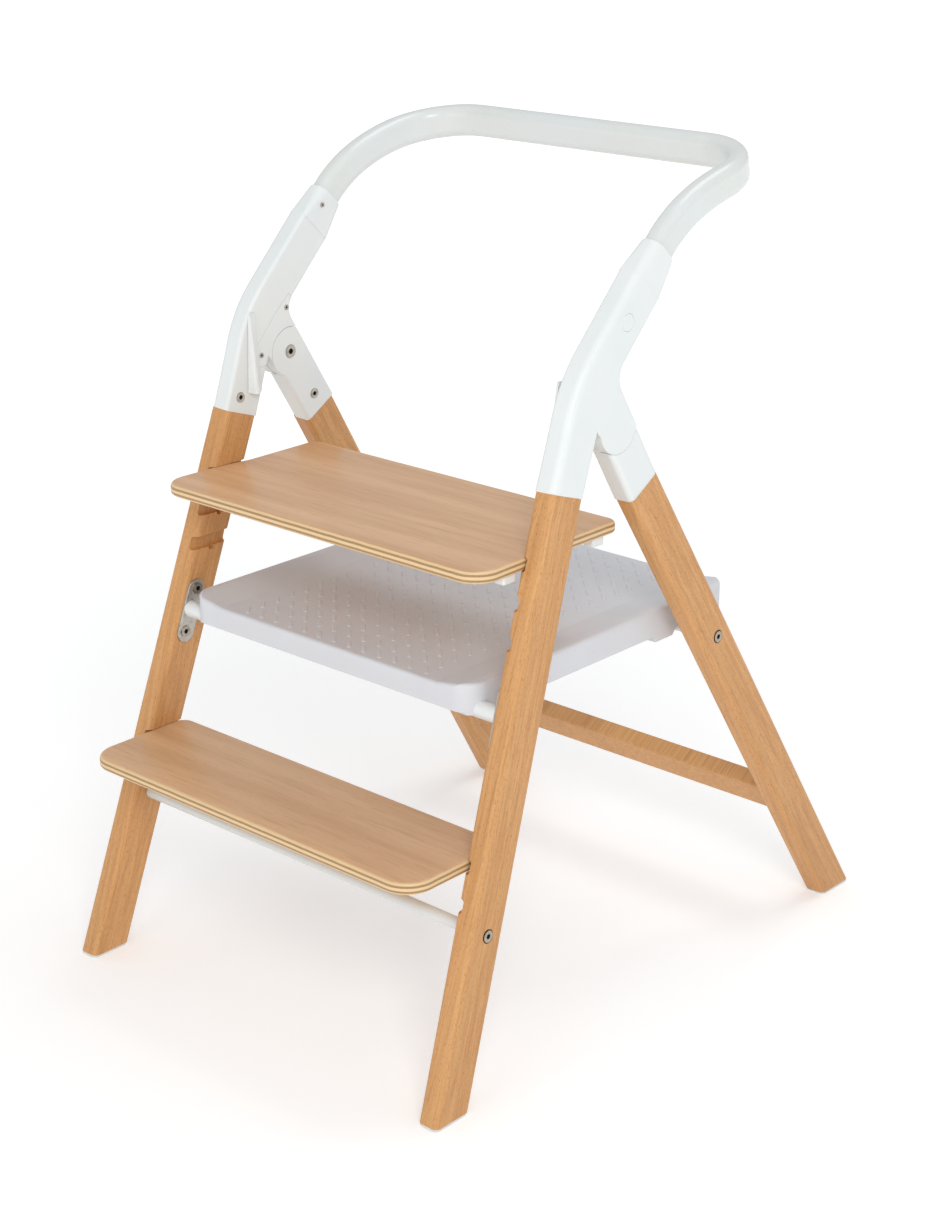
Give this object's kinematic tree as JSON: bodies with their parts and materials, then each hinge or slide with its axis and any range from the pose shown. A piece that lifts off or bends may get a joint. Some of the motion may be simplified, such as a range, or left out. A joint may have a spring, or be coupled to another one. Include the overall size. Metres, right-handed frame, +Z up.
{
  "type": "high chair",
  "caption": "Folding high chair with splayed wooden side frames, a white handrail hoop, slot-in seat and step boards, and a tray platform that hooks over the rear rod.",
  "frame": {"origin": "centre of the footprint of the four feet, on the floor", "axes": "+Z up, -Y the way the child faces, +X to the child's left"},
  "size_m": [0.5298, 0.7021, 0.8646],
  "materials": {
    "beech": "oiled beech with fine flecks",
    "plywood": "lacquered plywood with layered edges",
    "white_plastic": "fine satin white",
    "white_tube": "white powder coat",
    "steel": "nickel plated"
  },
  "bodies": {
    "front_frame": {"front_post_left": "beech", "front_post_right": "beech", "front_foot_pads": "white_plastic", "connector_left": "white_plastic", "connector_right": "white_plastic", "hinge_cover_left": "white_plastic", "hinge_cover_right": "white_plastic", "hoop_collar_left": "white_plastic", "hoop_collar_right": "white_plastic", "hoop_rail": "white_tube", "outer_plugs": "white_plastic", "hinge_bolts": "steel", "post_screws": "steel", "cover_screws": "steel", "collar_screws": "steel", "lever_pins": "steel", "tie_rod": "white_tube", "tie_rod_bolts": "steel", "pivot_plate_left": "steel", "pivot_plate_right": "steel", "plate_screws": "steel", "pivot_pins": "white_plastic"},
    "rear_frame": {"rear_leg_left": "beech", "rear_leg_right": "beech", "rear_foot_pads": "white_plastic", "leg_cap_left": "white_plastic", "leg_cap_right": "white_plastic", "cap_screws": "steel", "rear_rod": "white_tube", "rear_rod_bolts": "steel", "rear_crossbar": "beech", "crossbar_dowels": "beech"},
    "platform_tray": {"platform": "white_plastic"},
    "seat": {"seat_board": "plywood", "seat_stops": "white_plastic"},
    "step": {"step_board": "plywood"},
    "release_lever_left": {"lever_left": "white_plastic"},
    "release_lever_right": {"lever_right": "white_plastic"}
  },
  "joints": [
    {"name": "rear_fold", "type": "hinge", "parent": "front_frame", "child": "rear_frame", "pos_m": [0, -0.0585, 0.625], "axis": [-1, 0, 0], "range_deg": [0, 48]},
    {"name": "platform_tilt", "type": "hinge", "parent": "front_frame", "child": "platform_tray", "pos_m": [0, -0.209, 0.3714], "axis": [1, 0, 0], "range_deg": [0, 26.88]},
    {"name": "seat_slide", "type": "slide", "parent": "front_frame", "child": "seat", "axis": [0, -1, 0], "range_m": [0, 0.02]},
    {"name": "step_slide", "type": "slide", "parent": "front_frame", "child": "step", "axis": [0, -1, 0], "range_m": [0, 0.035]},
    {"name": "lever_right_pull", "type": "hinge", "parent": "front_frame", "child": "release_lever_right", "pos_m": [0.216, -0.1125, 0.67], "axis": [0, 0.9997, 0.0238], "range_deg": [0, 5], "stiffness_Nm_per_rad": 0.4},
    {"name": "lever_left_pull", "type": "hinge", "parent": "front_frame", "child": "release_lever_left", "pos_m": [-0.216, -0.1125, 0.67], "axis": [0, -0.9997, -0.0238], "range_deg": [0, 5], "stiffness_Nm_per_rad": 0.4}
  ],
  "couplings": [
    {"joint": "platform_tilt", "follows": "rear_fold", "ratio": 0.56}
  ]
}
